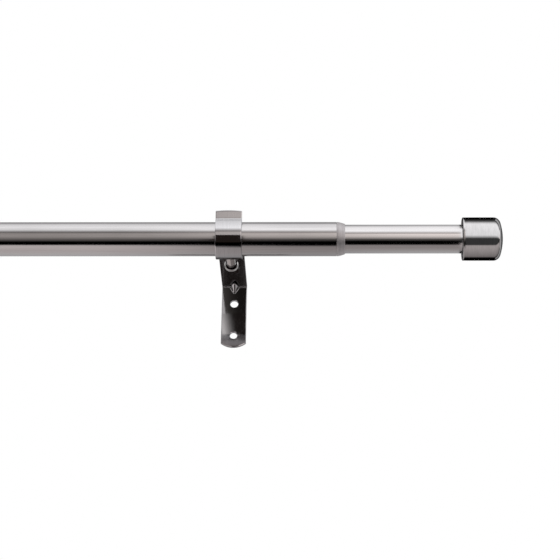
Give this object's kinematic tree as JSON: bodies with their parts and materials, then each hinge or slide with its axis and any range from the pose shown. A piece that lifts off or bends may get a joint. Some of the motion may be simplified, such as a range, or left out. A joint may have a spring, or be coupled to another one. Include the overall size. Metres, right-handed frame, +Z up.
{
  "type": "curtain rod with brackets",
  "caption": "Telescoping metal curtain rod with plain cylindrical end caps, resting in bent strap brackets that screw to a wall and clamp the rod with a set screw.",
  "frame": {"origin": "on the wall face of the right-hand bracket, midway between its two screw holes", "axes": "+X along the rod towards the thin tube, +Y towards the wall, +Z up"},
  "size_m": [0.7793, 0.0795, 0.0487],
  "materials": {
    "tube_nickel": "satin nickel plated steel tube, brushed around",
    "cap_nickel": "satin nickel plated cap, brushed around",
    "bracket_nickel": "bright nickel plated bent strap",
    "screw_nickel": "nickel plated machine screw",
    "collar_grey": "matte silver-grey moulded plastic",
    "insert_plastic": "black moulded plastic"
  },
  "bodies": {
    "bracket_right": {"bracket_right": "bracket_nickel"},
    "rod_outer": {"outer_tube": "tube_nickel", "end_collar": "collar_grey"},
    "rod_inner": {"inner_tube": "tube_nickel", "inner_tube_glide": "insert_plastic"},
    "finial_right": {"finial_cap_right": "cap_nickel", "finial_insert_right": "insert_plastic"},
    "finial_left": {"finial_cap_left": "cap_nickel", "finial_insert_left": "insert_plastic"},
    "bracket_left": {"bracket_left": "bracket_nickel"},
    "screw_right": {"clamp_screw_right": "screw_nickel"},
    "screw_left": {"clamp_screw_left": "screw_nickel"}
  },
  "joints": [
    {"name": "rod_shift", "type": "slide", "parent": "bracket_right", "child": "rod_outer", "axis": [1, 0, 0], "range_m": [-0.045, 0.045]},
    {"name": "telescope", "type": "slide", "parent": "rod_outer", "child": "rod_inner", "axis": [1, 0, 0], "range_m": [-0.064, 0.44]},
    {"name": "finial_right_pull", "type": "slide", "parent": "rod_inner", "child": "finial_right", "axis": [1, 0, 0], "range_m": [0, 0.03]},
    {"name": "finial_left_pull", "type": "slide", "parent": "rod_outer", "child": "finial_left", "axis": [-1, 0, 0], "range_m": [0, 0.03]},
    {"name": "bracket_left_slide", "type": "slide", "parent": "rod_outer", "child": "bracket_left", "axis": [1, 0, 0], "range_m": [-0.115, 0.3]},
    {"name": "screw_right_travel", "type": "slide", "parent": "bracket_right", "child": "screw_right", "axis": [0, 1, 0], "range_m": [0, 0.008]},
    {"name": "screw_left_travel", "type": "slide", "parent": "bracket_left", "child": "screw_left", "axis": [0, 1, 0], "range_m": [0, 0.008]}
  ]
}
